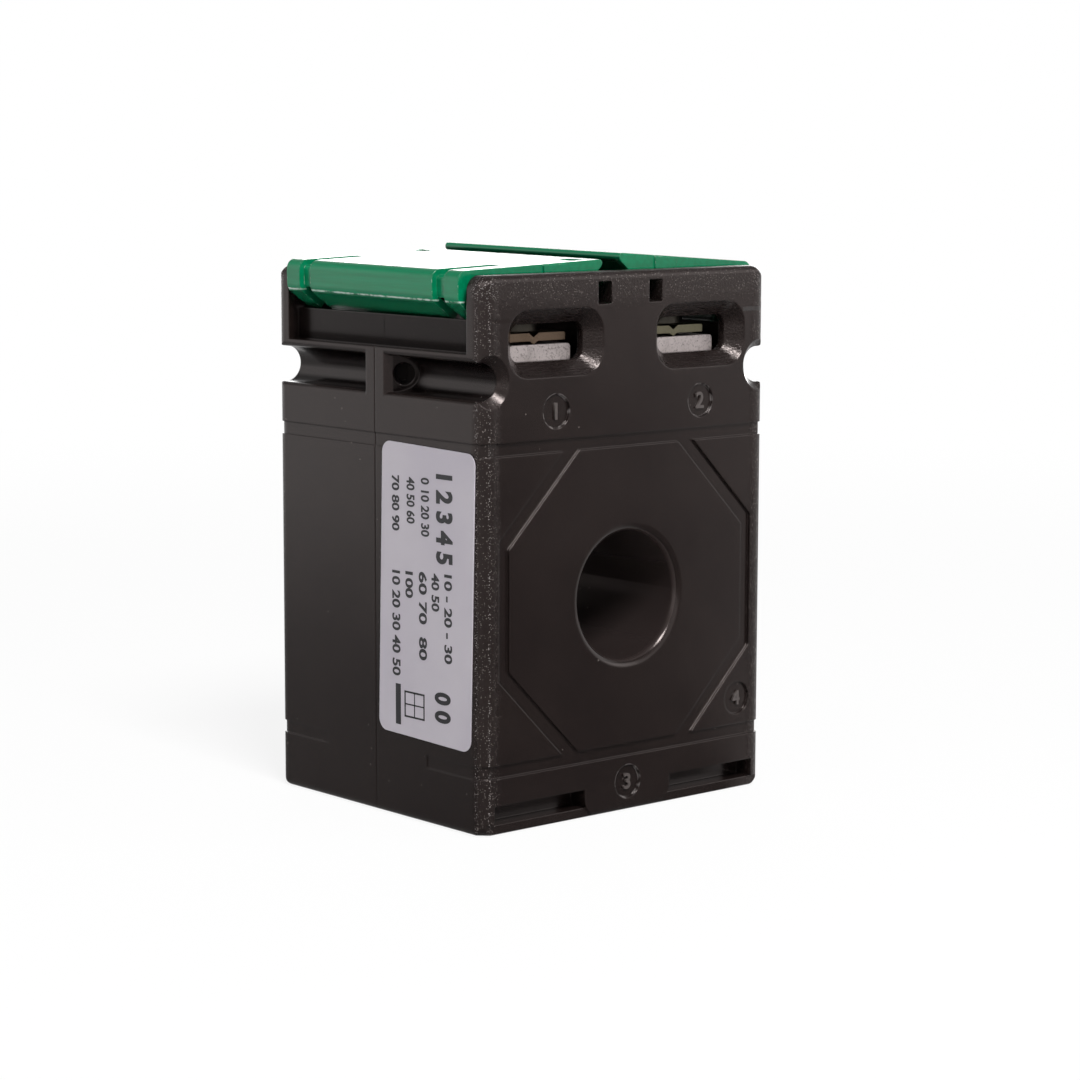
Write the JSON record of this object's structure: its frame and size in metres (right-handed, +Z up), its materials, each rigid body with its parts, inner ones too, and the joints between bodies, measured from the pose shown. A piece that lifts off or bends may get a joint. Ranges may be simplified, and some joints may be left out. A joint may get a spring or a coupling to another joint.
{
  "type": "current transformer",
  "caption": "Window-type current transformer: black two-part housing round a conductor bore, two hinged green covers over double-sided screw terminals.",
  "frame": {"origin": "middle of the base, under the middle of the housing", "axes": "+X to the right across the front, +Y from the front face to the rear face along the bore, +Z up"},
  "size_m": [0.0462, 0.0388, 0.066],
  "materials": {
    "housing": "moulded, black with a brown cast, fine grain on the rounded edges",
    "cover": "gloss emerald green",
    "terminal": "blasted, light grey",
    "clamp_bronze": "dull bronze plating",
    "clamp_olive": "dull olive-grey plating",
    "screw": "zinc plated",
    "core": "wound steel strip",
    "insulation": "wrapped paper",
    "winding": "enamelled copper wire",
    "tape": "wrapped tape",
    "pad": "soft foam",
    "lead": "insulated wire",
    "label": "printed film, pale lavender grey"
  },
  "bodies": {
    "housing": {"front_shell": "housing", "rear_shell": "housing", "terminal_bar_left": "terminal", "terminal_bar_right": "terminal", "core_strip": "core", "core_insulation": "insulation", "secondary_winding": "winding", "winding_tape": "tape", "core_pad_front": "pad", "core_pad_rear": "pad", "lead_wire_left": "lead", "lead_wire_right": "lead", "rating_label": "label"},
    "left_cover": {"cover_left": "cover"},
    "right_cover": {"cover_right": "cover"},
    "clamp_left_front": {"clamp_plate_left_front": "clamp_bronze"},
    "screw_left_front": {"terminal_screw_left_front": "screw"},
    "clamp_right_front": {"clamp_plate_right_front": "clamp_olive"},
    "screw_right_front": {"terminal_screw_right_front": "screw"},
    "clamp_left_rear": {"clamp_plate_left_rear": "clamp_bronze"},
    "screw_left_rear": {"terminal_screw_left_rear": "screw"},
    "clamp_right_rear": {"clamp_plate_right_rear": "clamp_olive"},
    "screw_right_rear": {"terminal_screw_right_rear": "screw"}
  },
  "joints": [
    {"name": "left_cover_hinge", "type": "hinge", "parent": "housing", "child": "left_cover", "pos_m": [-0.02, 0, 0.0618], "axis": [0, -1, 0], "range_deg": [-2.1, 90]},
    {"name": "right_cover_hinge", "type": "hinge", "parent": "housing", "child": "right_cover", "pos_m": [0.02, 0, 0.0618], "axis": [0, 1, 0], "range_deg": [-4.2, 90]},
    {"name": "clamp_left_front_lift", "type": "slide", "parent": "housing", "child": "clamp_left_front", "axis": [0, 0, 1], "range_m": [0, 0.0018]},
    {"name": "screw_left_front_turn", "type": "hinge", "parent": "clamp_left_front", "child": "screw_left_front", "pos_m": [-0.0114, -0.0109, 0.058], "axis": [0, 0, 1], "range_deg": [0, 927]},
    {"name": "clamp_right_front_lift", "type": "slide", "parent": "housing", "child": "clamp_right_front", "axis": [0, 0, 1], "range_m": [0, 0.0018]},
    {"name": "screw_right_front_turn", "type": "hinge", "parent": "clamp_right_front", "child": "screw_right_front", "pos_m": [0.0114, -0.0109, 0.058], "axis": [0, 0, 1], "range_deg": [0, 927]},
    {"name": "clamp_left_rear_lift", "type": "slide", "parent": "housing", "child": "clamp_left_rear", "axis": [0, 0, 1], "range_m": [0, 0.0018]},
    {"name": "screw_left_rear_turn", "type": "hinge", "parent": "clamp_left_rear", "child": "screw_left_rear", "pos_m": [-0.0114, 0.0109, 0.058], "axis": [0, 0, 1], "range_deg": [0, 927]},
    {"name": "clamp_right_rear_lift", "type": "slide", "parent": "housing", "child": "clamp_right_rear", "axis": [0, 0, 1], "range_m": [0, 0.0018]},
    {"name": "screw_right_rear_turn", "type": "hinge", "parent": "clamp_right_rear", "child": "screw_right_rear", "pos_m": [0.0114, 0.0109, 0.058], "axis": [0, 0, 1], "range_deg": [0, 927]}
  ],
  "couplings": [
    {"joint": "screw_left_front_turn", "follows": "clamp_left_front_lift", "rad_per_m": 8976},
    {"joint": "screw_right_front_turn", "follows": "clamp_right_front_lift", "rad_per_m": 8976},
    {"joint": "screw_left_rear_turn", "follows": "clamp_left_rear_lift", "rad_per_m": 8976},
    {"joint": "screw_right_rear_turn", "follows": "clamp_right_rear_lift", "rad_per_m": 8976}
  ]
}
